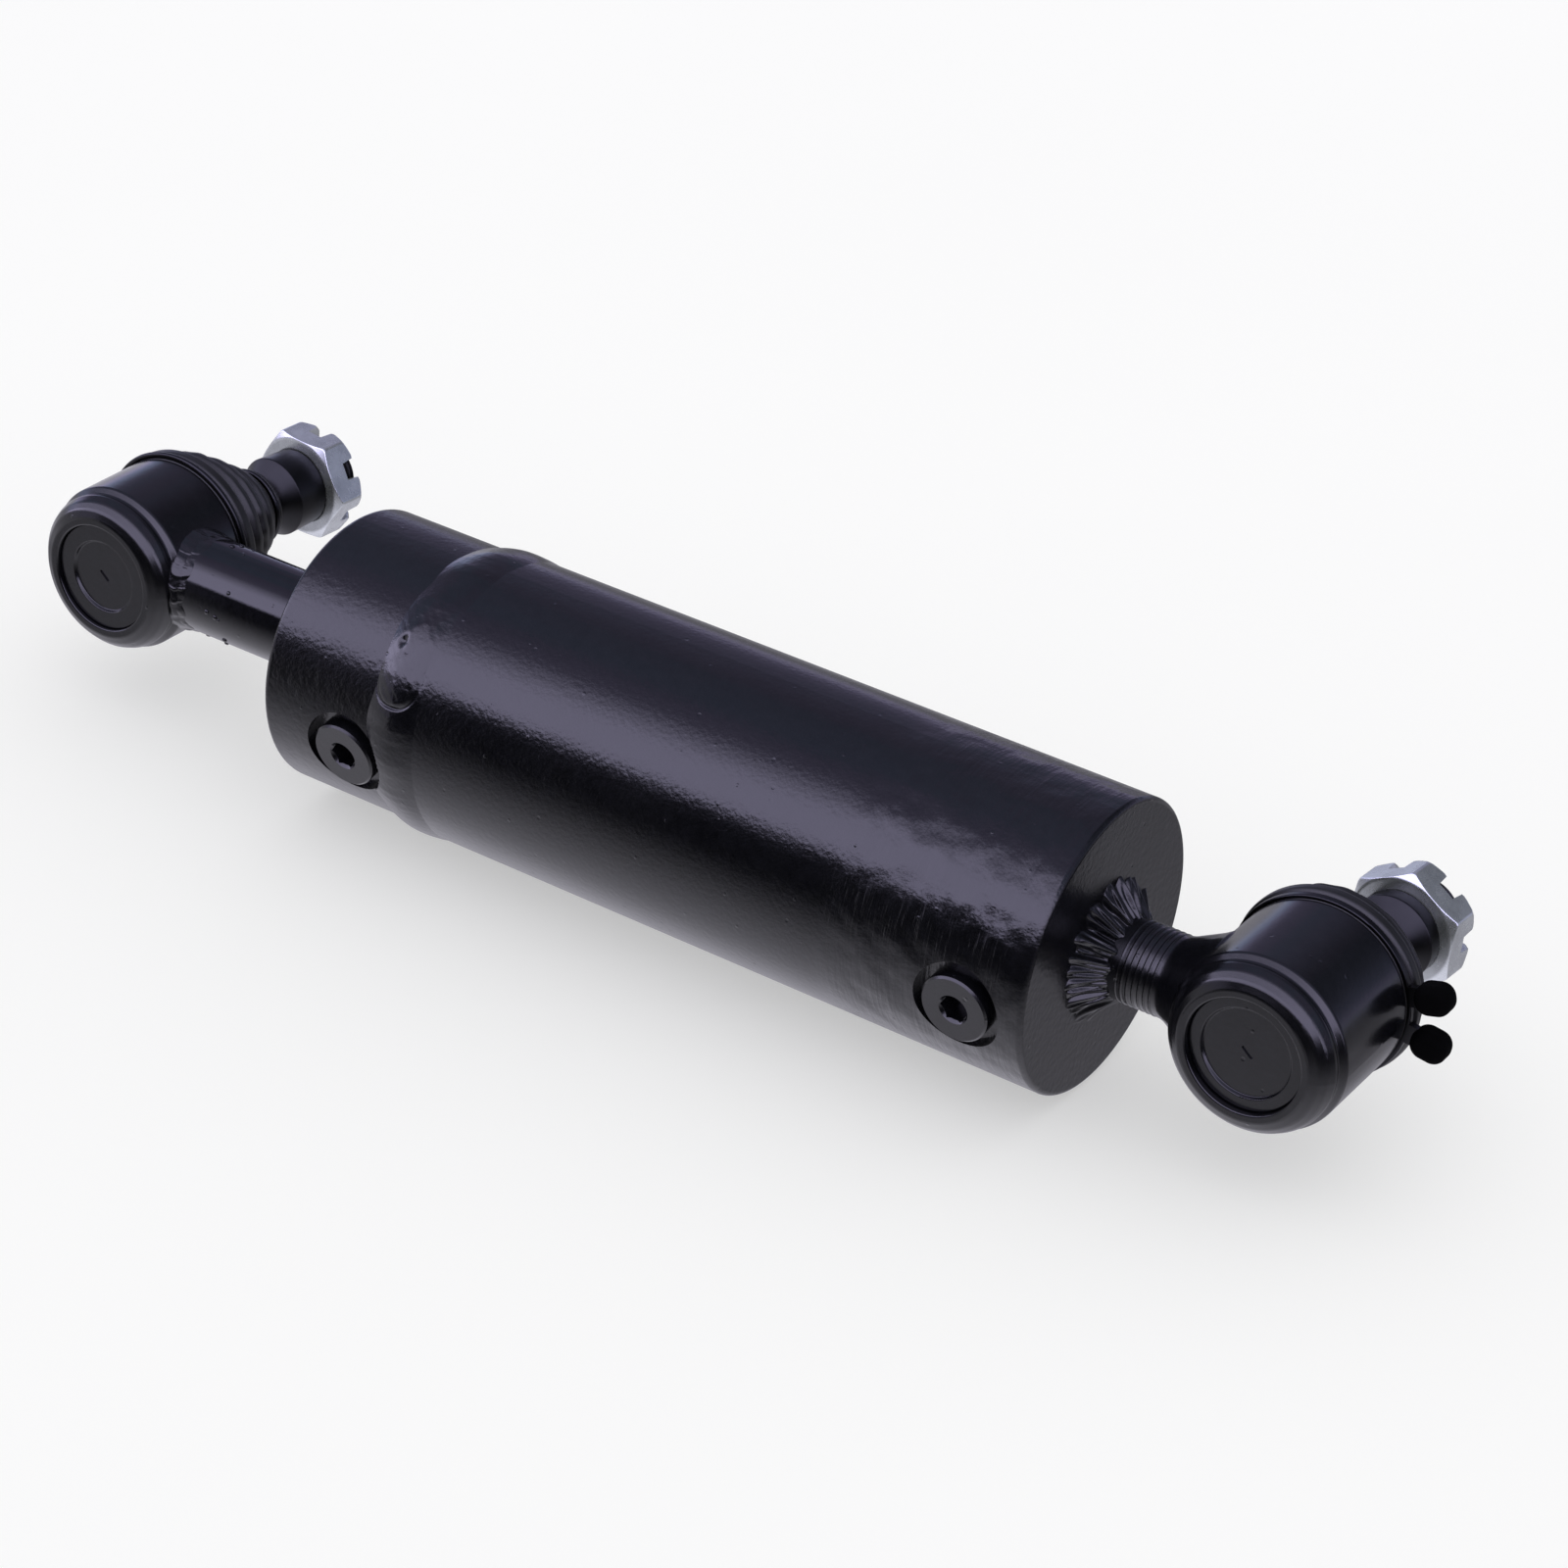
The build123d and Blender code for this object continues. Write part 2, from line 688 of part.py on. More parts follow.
def slotted_nut(joint):
    """A hexagon nut with six slots across its far face."""
    start, end = joint.nut_face, joint.nut_face + STUD_NUT_H
    bore = STUD_THREAD_R + 0.02
    with BuildPart() as nut:
        with BuildSketch(joint.across_stud(start)):
            RegularPolygon(STUD_NUT_AF / 2, 6, major_radius=False, rotation=joint.nut_turn)
            Circle(bore, mode=Mode.SUBTRACT)
        extrude(amount=STUD_NUT_H)
        with BuildSketch(joint.stud_plane):
            with BuildLine():
                upright_outline(nut_corner_trim(start, end, STUD_NUT_AF / 2, 1.0, 2.4))
            make_face()
        revolve(axis=joint.stud_axis, mode=Mode.INTERSECT)
        with BuildSketch(joint.stud_plane):
            with BuildLine():
                upright_outline([(start - 1, 0, 0), (start - 1, bore + 2.6, 0), (start + 1.6, bore, 0), (start + 1.6, 0, 0)])
            make_face()
        revolve(axis=joint.stud_axis, mode=Mode.SUBTRACT)
        with BuildSketch(joint.across_stud(end)):
            for turn in (30, 90, 150):
                SlotOverall(3 * STUD_NUT_AF, NUT_SLOT_W, rotation=turn + joint.nut_turn)
        extrude(amount=-NUT_SLOT_DEPTH, mode=Mode.SUBTRACT)
    return nut


CAP_BOOT_FOLDS = ((24.6, 21.6), (25.8, 21.4), (26.6, 21.8), (29.0, 19.6), (31.6, 16.0), (33.4, 13.4), (35.2, 12.6))
ROD_BOOT_FOLDS = (
    (21.2, 19.4),
    (23.0, 20.6),
    (24.6, 20.2),
    (27.0, 16.6),
    (28.6, 17.6),
    (30.2, 17.0),
    (32.6, 13.4),
    (34.2, 14.0),
    (35.8, 13.2),
)


def boot_section(joint, along, cuff_start):
    """A plane across the boot, square to the housing at the foot and to the stud at the cuff."""
    foot, full = joint.rear + 4.0, cuff_start - 2.0
    share = min(max((along - foot) / (full - foot), 0.0), 1.0)
    lean = radians(STUD_LEAN * share)
    direction = Vector(sin(lean), cos(lean), 0)
    return Plane(origin=Vector(joint.x, 0, 0) + direction * along, x_dir=(cos(lean), -sin(lean), 0), z_dir=direction)


def boot(joint, folds, flange_r, cuff):
    """A rubber boot from the housing's rear face to the stud's neck, hollow inside."""
    base = joint.rear + 0.02
    band_r = JOINT_R - 0.1
    cuff_start, cuff_end, cuff_r = cuff
    neck_r = NECK_R + RUNNING_GAP
    outside = [(base, band_r), (base + 1.9, band_r), (base + 2.1, flange_r - 0.8), (base + 2.9, flange_r)]
    outside += [(base + 5.0, flange_r), (base + 5.9, flange_r - 0.9), *folds]
    outside += [(cuff_start, cuff_r + 1.0), (cuff_start + 0.4, cuff_r), (cuff_start + 2.1, cuff_r)]
    outside += [(cuff_start + 2.4, cuff_r + 0.9), (cuff_end, cuff_r + 0.5)]
    inside = [(base - 0.5, 16.5), (base + 3.0, 16.5), (base + 4.6, flange_r - 4.0)]
    inside += [(along - 1.0, radius - 2.8) for along, radius in folds[1:-1]]
    inside += [(cuff_start - 1.5, neck_r), (cuff_end + 0.5, neck_r)]
    with BuildPart() as rubber:
        for along, radius in outside:
            with BuildSketch(boot_section(joint, along, cuff_start)):
                Circle(radius)
        loft(ruled=True)
        for along, radius in inside:
            with BuildSketch(boot_section(joint, along, cuff_start)):
                Circle(radius)
        loft(ruled=True, mode=Mode.SUBTRACT)
    return rubber


def boot_neck_ring(joint, cuff):
    """The wire ring that holds a boot's cuff on the stud; it swings with the stud."""
    cuff_start, _, cuff_r = cuff
    section_r = 0.7
    along = joint.stud_plane
    across = Plane(origin=along.origin, x_dir=tuple(joint.stud_dir), z_dir=(0, 0, 1))
    return round_ring(across, (cuff_start + 1.25, cuff_r + section_r + 0.03), section_r)


def boot_ring(joint, flange_r):
    """The wire ring that holds the rod-end boot's foot on its housing."""
    section_r = 0.75
    across = Plane(origin=joint.plane.origin, x_dir=(0, 1, 0), z_dir=(0, 0, 1))
    return round_ring(across, (joint.rear + 0.95, JOINT_R - 0.1 + section_r + 0.03), section_r)


# The two ears of the clamp: their direction from the housing's axis
EAR_ANGLES = (16.5, -7.5)
EAR_REACH = 30.5
EAR_CAP_R = 3.7
EAR_CAP_REACH = 24.2


def boot_clamp():
    """A thin band around the cap-end boot's foot, with two ears that open it."""
    inner = JOINT_R - 0.05
    with BuildPart() as clamp:
        with BuildSketch(CAP_JOINT.plane):
            with BuildLine():
                upright_outline(
                    [
                        (CAP_JOINT.rear + 0.15, inner, 0),
                        (CAP_JOINT.rear + 0.15, inner + 0.9, 0.3),
                        (CAP_JOINT.rear + 1.85, inner + 0.9, 0.3),
                        (CAP_JOINT.rear + 1.85, inner, 0),
                    ]
                )
            make_face()
        revolve(axis=CAP_JOINT.axis)
        for angle in EAR_ANGLES:
            with BuildSketch(ear_plane(angle, 0.15)):
                with Locations(((inner + 0.5 + EAR_REACH - 3) / 2, 0)):
                    Rectangle(EAR_REACH - 3 - inner - 0.5, 5.0)
            extrude(amount=1.7)
    return clamp


def ear_plane(angle, lift):
    """The plane of one ear, X outwards along it, lift from the housing's rear face."""
    out = Vector(cos(radians(angle)), 0, sin(radians(angle)))
    return Plane(origin=(0, CAP_JOINT.rear + lift, 0), x_dir=out, z_dir=(0, 1, 0))


def clamp_ear_caps():
    """A soft cap on each ear, with a slot that the ear fills."""
    half_t = 3.3
    length = 9.0
    middle = EAR_CAP_REACH + length / 2
    with BuildPart() as caps:
        for angle in EAR_ANGLES:
            with BuildSketch(ear_plane(angle, 1.0 - half_t)):
                with Locations((middle, 0)):
                    RectangleRounded(length, 2 * EAR_CAP_R, EAR_CAP_R - 0.3)
            extrude(amount=2 * half_t)
        fillet(caps.edges().filter_by(Axis.Y, reverse=True), 2.2)
        for angle in EAR_ANGLES:
            with BuildSketch(ear_plane(angle, 0.13)):
                with Locations((EAR_REACH / 2 - 1.5, 0)):
                    Rectangle(EAR_REACH - 2.98, 5.04)
            extrude(amount=1.74, mode=Mode.SUBTRACT)
    return caps


CAP_CUFF = (37.6, 40.8, 9.0)
ROD_CUFF = (38.8, 42.2, 9.2)
CAP_FLANGE_R = 23.5
ROD_FLANGE_R = 22.9


def all_pieces():
    """Every separate piece, by node name."""
    pieces = {
        "barrel_tube": barrel_tube(),
        "end_cap": end_cap(),
        "cap_weld": cap_weld(),
        "rod_head": rod_head(),
        "head_weld": head_weld(),
        "rod_bushing": rod_bushing(),
        "rod_seal": rod_seal(),
        "rod_wiper": rod_wiper(),
        "cap_port_plug": port_plug(CAP_PORT_X, CAP_PORT_TURN, CAP_PORT_FLOOR),
        "cap_port_oring": port_oring(CAP_PORT_X, CAP_PORT_TURN, CAP_PORT_FLOOR),
        "head_port_plug": port_plug(HEAD_PORT_X, HEAD_PORT_TURN, HEAD_PORT_FLOOR),
        "head_port_oring": port_oring(HEAD_PORT_X, HEAD_PORT_TURN, HEAD_PORT_FLOOR),
        "piston": piston(),
        "piston_seal": piston_seal(),
        "piston_seal_expander": piston_seal_expander(),
        "piston_guide_rings": piston_guide_rings(),
        "piston_oring": piston_oring(),
        "piston_nut": piston_nut(),
        "piston_rod": piston_rod(),
        "cap_joint_housing": cap_joint_housing(),
        "cap_joint_weld": cap_joint_weld(),
        "rod_joint_housing": rod_joint_housing(),
        "rod_joint_weld": rod_joint_weld(),
        "cap_closing_plate": closing_plate(CAP_JOINT, 10.9),
        "rod_closing_plate": closing_plate(ROD_JOINT, 9.4),
        "cap_boot": boot(CAP_JOINT, CAP_BOOT_FOLDS, CAP_FLANGE_R, CAP_CUFF),
        "rod_boot": boot(ROD_JOINT, ROD_BOOT_FOLDS, ROD_FLANGE_R, ROD_CUFF),
        "cap_boot_neck_ring": boot_neck_ring(CAP_JOINT, CAP_CUFF),
        "rod_boot_neck_ring": boot_neck_ring(ROD_JOINT, ROD_CUFF),
        "rod_boot_ring": boot_ring(ROD_JOINT, ROD_FLANGE_R),
        "cap_boot_clamp": boot_clamp(),
        "clamp_ear_caps": clamp_ear_caps(),
    }
    for end, joint in (("cap", CAP_JOINT), ("rod", ROD_JOINT)):
        pieces[f"{end}_ball_seat"] = ball_seat(joint)
        pieces[f"{end}_pressure_pad"] = pressure_pad(joint)
        pieces[f"{end}_disc_spring"] = disc_spring(joint)
        pieces[f"{end}_ball_stud"] = ball_stud(joint)
        pieces[f"{end}_stud_nut"] = slotted_nut(joint)
    return pieces


os.makedirs("parts", exist_ok=True)
for node, piece in all_pieces().items():
    piece.part.label = node
    export_step(piece.part, f"parts/{node}.step")
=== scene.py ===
import json
from math import cos, pi, radians, sin, sqrt

import bmesh
import bpy
import numpy as np
from mathutils import Matrix, Vector


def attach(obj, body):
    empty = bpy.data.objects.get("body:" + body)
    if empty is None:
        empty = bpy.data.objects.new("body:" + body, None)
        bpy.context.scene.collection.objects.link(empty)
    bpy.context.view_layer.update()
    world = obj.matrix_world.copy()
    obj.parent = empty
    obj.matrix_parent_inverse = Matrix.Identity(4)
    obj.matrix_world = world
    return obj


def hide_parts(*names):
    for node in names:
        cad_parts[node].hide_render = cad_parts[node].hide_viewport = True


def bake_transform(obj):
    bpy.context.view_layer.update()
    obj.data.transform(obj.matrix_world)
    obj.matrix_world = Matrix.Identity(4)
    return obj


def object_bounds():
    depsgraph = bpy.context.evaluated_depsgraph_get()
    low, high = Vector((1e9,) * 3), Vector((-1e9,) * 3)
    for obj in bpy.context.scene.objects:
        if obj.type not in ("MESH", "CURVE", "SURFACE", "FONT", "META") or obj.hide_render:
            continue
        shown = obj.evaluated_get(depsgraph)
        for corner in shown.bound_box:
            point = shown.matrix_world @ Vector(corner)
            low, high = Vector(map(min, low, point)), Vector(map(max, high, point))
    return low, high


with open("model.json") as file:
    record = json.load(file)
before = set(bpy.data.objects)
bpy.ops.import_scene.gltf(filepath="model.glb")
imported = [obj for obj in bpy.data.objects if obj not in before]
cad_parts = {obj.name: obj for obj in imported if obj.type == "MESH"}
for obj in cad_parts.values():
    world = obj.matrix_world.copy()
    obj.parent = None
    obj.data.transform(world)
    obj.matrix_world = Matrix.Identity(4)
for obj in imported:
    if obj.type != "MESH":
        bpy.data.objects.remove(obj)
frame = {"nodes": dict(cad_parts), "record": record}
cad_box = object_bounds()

MM = 0.001
MM_PER_M = 1000.0
MIX_A, MIX_B, MIX_RESULT = 6, 7, 2  # the Mix node's colour sockets, which share their names with others


# ---------------------------------------------------------------- node graphs
class Graph:
    """A small wrapper that builds a shader's node tree."""

    def __init__(self, tree):
        self.tree = tree
        tree.nodes.clear()

    def add(self, kind, inputs=None, **settings):
        node = self.tree.nodes.new("ShaderNode" + kind)
        for key, value in settings.items():
            setattr(node, key, value)
        for key, value in (inputs or {}).items():
            self.plug(node, key, value)
        return node

    def plug(self, node, key, value):
        """Links an input to a socket or to a node's first output, or sets it to a number or a colour."""
        if isinstance(value, bpy.types.Node):
            value = value.outputs[0]
        if isinstance(value, bpy.types.NodeSocket):
            self.tree.links.new(value, node.inputs[key])
        else:
            node.inputs[key].default_value = value

    def math(self, operation, *values):
        return self.add("Math", dict(enumerate(values)), operation=operation).outputs[0]

    def plus(self, *values):
        total = values[0]
        for value in values[1:]:
            total = self.math("ADD", total, value)
        return total

    def times(self, a, b):
        return self.math("MULTIPLY", a, b)

    def step(self, value, low, high):
        """0 below low, 1 above high, smooth between; low may be above high."""
        inputs = {"Value": value, "From Min": low, "From Max": high}
        return self.add("MapRange", inputs, interpolation_type="SMOOTHSTEP").outputs[0]

    def band(self, value, low, high, soft):
        """1 from low to high, fading out over soft beyond each."""
        return self.times(self.step(value, low - soft, low), self.step(value, high + soft, high))

    def noise(self, vector, scale, detail=2.0, roughness=0.5):
        inputs = {"Vector": vector, "Scale": scale, "Detail": detail, "Roughness": roughness}
        return self.add("TexNoise", inputs).outputs[0]

    def cells(self, vector, scale):
        """The distance to the nearest of many scattered points."""
        return self.add("TexVoronoi", {"Vector": vector, "Scale": scale}).outputs[0]

    def ramp(self, value, stops):
        """A colour or a grey level at each stop, and straight lines between them."""
        node = self.add("ValToRGB", {"Fac": value})
        elements = node.color_ramp.elements
        while len(elements) < len(stops):
            elements.new(0.5)
        for element, (place, colour) in zip(elements, stops):
            rgb = colour if isinstance(colour, tuple) else (colour, colour, colour)
            element.position = place
            element.color = (*rgb, 1.0)
        return node.outputs[0]

    def mix(self, share, a, b):
        node = self.add("Mix", {"Factor": share}, data_type="RGBA")
        self.plug(node, MIX_A, a)
        self.plug(node, MIX_B, b)
        return node.outputs[MIX_RESULT]

    def join(self, x, y, z):
        return self.add("CombineXYZ", {"X": x, "Y": y, "Z": z}).outputs[0]

    def split(self, vector):
        return self.add("SeparateXYZ", {"Vector": vector}).outputs


class Material(Graph):
    """A material with its place in the row frame, in millimetres, ready to use."""

    def __init__(self, name):
        self.material = bpy.data.materials.new(name)
        self.material.use_nodes = True
        super().__init__(self.material.node_tree)
        place = self.add("TexCoord").outputs["Object"]
        to_mm = {0: place, 1: (MM_PER_M, MM_PER_M, MM_PER_M)}
        self.place = self.add("VectorMath", to_mm, operation="MULTIPLY").outputs[0]
        self.x, self.y, self.z = self.split(self.place)

    def around_x(self):
        """(distance along the cylinder, angle above -Y in radians)."""
        return self.x, self.math("ARCTAN2", self.z, self.times(self.y, -1.0))

    def finish(self, colour, roughness, height=None, **constants):
        """Ends the tree; height is in millimetres, and constants go straight on the shader's sockets."""
        shader = self.add("BsdfPrincipled", {"Base Color": colour, "Roughness": roughness})
        for key, value in constants.items():
            shader.inputs[key.replace("_", " ")].default_value = value
        if height is not None:
            bump = self.add("Bump", {"Height": height, "Distance": MM, "Strength": 1.0})
            self.plug(shader, "Normal", bump)
        self.add("OutputMaterial", {"Surface": shader})
        return self.material


# Sprayed paint, in mm
WAVE_LENGTH, NIB_SPACING, PIT_SPACING, SPECK_HEIGHT = 34.0, 6.5, 9.0, 0.06
PIT_SHIFT = (3.1, 7.7, 5.3)  # keeps the pits off the nibs
PAINT_DARK, PAINT_LIGHT = (0.0020, 0.0020, 0.0032), (0.0044, 0.0044, 0.0070)

# Where the surface under the bodywork's paint changes, along the cylinder in mm
GROUND_ZONE = (-90.0, -52.0, 14.0)  # the grinder's marks: from, to, and how far they fade beyond
GROUND_STOP = (-46.2, -47.5)  # none on the cap's face
CAST_HEAD = (-222.0, -234.0)
CAP_FACE = (-46.9, -46.2)
STROKE_HEIGHT, LUMP_HEIGHT, CAST_HEIGHT, FACE_HEIGHT = 0.18, 0.65, 0.07, 0.05


def black_paint(name, rough=0.17, peel=0.07, grain=1.25, bodywork=False, waviness=0.12):
    """Sprayed black paint: orange peel, nibs, pits, and over the bodywork the marks of what was done under it.

    peel and waviness are heights, and grain is the size of the peel's bumps, all in millimetres.
    """
    m = Material(name)
    fine = m.noise(m.place, 1.0 / grain, 2.0, 0.55)
    wide = m.noise(m.place, 1.0 / WAVE_LENGTH, 1.0, 0.4)
    nibs = m.step(m.cells(m.place, 1.0 / NIB_SPACING), 0.085, 0.03)
    pit_place = m.add("VectorMath", {0: m.place, 1: PIT_SHIFT}, operation="ADD").outputs[0]
    pits = m.step(m.cells(pit_place, 1.0 / PIT_SPACING), 0.07, 0.03)
    specks = m.times(nibs, SPECK_HEIGHT), m.times(pits, -SPECK_HEIGHT)
    height = m.plus(m.times(fine, peel), m.times(wide, waviness), *specks)
    smudge = m.noise(m.place, 1.0 / 18.0, 3.0, 0.6)
    roughness = m.plus(rough - 0.05, m.times(smudge, 0.10))
    if bodywork:
        along, angle = m.around_x()
        strokes = m.noise(m.join(m.times(along, 1.0 / 1.3), m.times(angle, 2.6), 0.0), 1.0, 2.0, 0.6)
        lumps = m.noise(m.join(m.times(along, 1.0 / 8.0), m.times(angle, 4.2), 4.0), 1.0, 1.0, 0.5)
        ground = m.times(m.band(along, *GROUND_ZONE), m.step(along, *GROUND_STOP))
        coarse = m.noise(m.place, 1.0 / 2.2, 2.0, 0.6)
        cast = m.step(along, *CAST_HEAD)
        face = m.step(along, *CAP_FACE)
        height = m.plus(
            height,
            m.times(ground, m.plus(m.times(strokes, STROKE_HEIGHT), m.times(lumps, LUMP_HEIGHT))),
            m.times(cast, m.times(coarse, CAST_HEIGHT)),
            m.times(face, m.times(coarse, FACE_HEIGHT)),
        )
        roughness = m.plus(roughness, m.times(cast, 0.035), m.times(ground, 0.02), m.times(face, 0.08))
    dust = m.noise(m.place, 1.0 / 3.0, 4.0, 0.7)
    colour = m.ramp(dust, [(0.35, PAINT_DARK), (0.75, PAINT_LIGHT)])
    return m.finish(colour, roughness, height, IOR=1.5)


def bare_steel(name, colour, rough=0.3, tint=0.2, metallic=1.0):
    """Unpainted metal with fine grain, and cloudy patches that are darker by tint."""
    m = Material(name)
    grain = m.noise(m.place, 1.0 / 0.5, 3.0, 0.6)
    cloud = m.noise(m.place, 1.0 / 6.0, 3.0, 0.6)
    dark = tuple(c * (1 - tint) for c in colour)
    shade = m.ramp(cloud, [(0.3, dark), (0.7, colour)])
    roughness = m.plus(rough - 0.08, m.times(cloud, 0.16))
    return m.finish(shade, roughness, m.times(grain, 0.004), Metallic=metallic)


def rubber(name, level=0.004, rough=0.42, ior=1.5):
    """Moulded rubber or plastic, with a grey level that is slightly blue."""
    m = Material(name)
    grain = m.noise(m.place, 1.0 / 0.7, 3.0, 0.6)
    cloud = m.noise(m.place, 1.0 / 8.0, 3.0, 0.6)
    dark, light = (level, level, level * 1.15), (level * 2.2, level * 2.1, level * 2.6)
    shade = m.ramp(cloud, [(0.3, dark), (0.8, light)])
    return m.finish(shade, m.plus(rough - 0.06, m.times(cloud, 0.14)), m.times(grain, 0.01), IOR=ior)


MATERIALS = {
    "black_paint": black_paint("black_paint", bodywork=True),
    "painted_rod": black_paint("painted_rod", rough=0.11, peel=0.012),
    "bright_steel": bare_steel("bright_steel", (0.45, 0.45, 0.47)),
    "spring_steel": bare_steel("spring_steel", (0.035, 0.035, 0.038), 0.3),
    "dark_stud_steel": bare_steel("dark_stud_steel", (0.03, 0.03, 0.032), 0.35),
    "zinc_nut": bare_steel("zinc_nut", (0.66, 0.69, 0.72), 0.27, 0.25, 0.85),
    "boot_rubber": rubber("boot_rubber"),
    "clamp_caps": rubber("clamp_caps", 0.0006, 0.8, 1.12),
    "seal_rubber": rubber("seal_rubber"),
    "seal_plastic": rubber("seal_plastic", 0.08),
    "bushing_bronze": bare_steel("bushing_bronze", (0.55, 0.38, 0.18)),
    "seat_plastic": rubber("seat_plastic", 0.3),
}

# Painted pieces whose surface under the paint is smoother than the bodywork's
FORGED = black_paint("forged_paint", rough=0.20, peel=0.02, grain=1.6, waviness=0.3)
JOINT_PIECES = (
    "cap_joint_housing", "rod_joint_housing",
    "cap_closing_plate", "rod_closing_plate",
    "cap_port_plug", "head_port_plug",
)

for part in frame["record"]["subparts"]:
    node = frame["nodes"][part["node"]]
    node.data.materials.clear()
    node.data.materials.append(FORGED if part["node"] in JOINT_PIECES else MATERIALS[part["material_slot"]])


# ---------------------------------------------------------------- turned pieces
def cylinder_line(along):
    """Along the cylinder from the origin, with a turn of 0 at -Y and a quarter turn at +Z."""
    return along[..., None] * np.array([1.0, 0, 0]), np.array([0, -1.0, 0])


def leaning_line(x, degrees):
    """Along +Y from a ball's centre, leaning towards +X by degrees, which may be a function of the place along."""

    def line(along):
        lean = np.radians(degrees(along) if callable(degrees) else np.full(along.shape, degrees))
        nought = np.zeros_like(lean)
        direction = np.stack([np.sin(lean), np.cos(lean), nought], -1)
        zero = np.stack([np.cos(lean), -np.sin(lean), nought], -1)
        return np.array([x, 0, 0]) + along[..., None] * direction, zero

    return line


def turns(columns):
    return np.linspace(0, 2 * pi, columns, endpoint=False)


def lathe(line, along, radius, poles=False):
    """Points and faces of a closed skin: a row for each point of a section, a column for each turn."""
    rows, columns = radius.shape
    centre, zero = line(along)
    turn = turns(columns)[None, :, None]
    points = centre + radius[..., None] * (np.cos(turn) * zero + np.sin(turn) * np.array([0, 0, 1.0]))
    index = np.arange(rows * columns).reshape(rows, columns)
    last = rows - 1 if poles else rows
    a = index[np.arange(last)]
    b = index[(np.arange(last) + 1) % rows]
    faces = np.stack([a, b, np.roll(b, -1, 1), np.roll(a, -1, 1)], -1).reshape(-1, 4).tolist()
    points = points.reshape(-1, 3)
    if poles:
        ends = [points[index[0]].mean(0), points[index[-1]].mean(0)]
        for row, pole in ((index[0], len(points)), (index[-1], len(points) + 1)):
            faces += [[int(p), int(q), pole] for p, q in zip(row, np.roll(row, -1))]
        points = np.vstack([points, ends])
    return points, faces


def piece(name, skins, material, body, slot, *nodes):
    """One object from a list of closed skins in millimetres; nodes are the CAD nodes it stands for."""
    points, faces, offset = [], [], 0
    for skin_points, skin_faces in skins:
        points.append(skin_points)
        faces += [[corner + offset for corner in face] for face in skin_faces]
        offset += len(skin_points)
    mesh = bpy.data.meshes.new(name)
    mesh.from_pydata((np.vstack(points) * MM).tolist(), [], faces)
    whole = bmesh.new()
    whole.from_mesh(mesh)
    bmesh.ops.recalc_face_normals(whole, faces=whole.faces)
    whole.to_mesh(mesh)
    whole.free()
    mesh.shade_smooth()
    mesh.materials.append(material)
    made = bpy.data.objects.new(name, mesh)
    bpy.context.scene.collection.objects.link(made)
    if isinstance(body, str):
        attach(made, body)
    else:
        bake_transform(made)
    if nodes:
        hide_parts(*nodes)
    return made


def waves(seed, low, high, count=9, reach=0.6):
    """A smooth random function of turn and place, near -1 to 1, that meets itself after a full turn."""
    draw = np.random.default_rng(seed)
    orders = draw.integers(low, high + 1, count)
    slopes = draw.uniform(-reach, reach, count)
    phases = draw.uniform(0, 2 * pi, count)

    def value(turn, along=0.0):
        return sum(np.cos(k * turn + s * along + p) for k, s, p in zip(orders, slopes, phases)) / sqrt(2.0 * count)

    return value


def dense(section, spacing, close=True):
    """A section with more points on its long sides, and its corners then cut twice."""
    corners = [np.array(p, float) for p in section]
    ends = corners[1:] + corners[:1] if close else corners[1:]
    points = []
    for a, b in zip(corners, ends):
        count = max(1, int(np.ceil(np.linalg.norm(b - a) / spacing)))
        points += [a + (b - a) * i / count for i in range(count)]
    if not close:
        points.append(corners[-1])
    points = np.array(points)
    for _ in range(2):
        after = np.roll(points, -1, 0) if close else points[1:]
        before = points if close else points[:-1]
        cut = np.stack([0.75 * before + 0.25 * after, 0.25 * before + 0.75 * after], 1).reshape(-1, 2)
        points = cut if close else np.vstack([points[:1], cut, points[-1:]])
    return points


def with_rings(grid, *values):
    """The grid with a row more for each value, the same all the way round."""
    return np.vstack([grid, *(np.full((1, grid.shape[1]), value) for value in values)])


BEAD_COLUMNS = 900
SWELL, RIPPLE_SWELL, JITTER, BOW = 0.16, 0.4, 1.4, 2.6
OVERTONE, OVERTONE_LAG = 0.35, 0.8


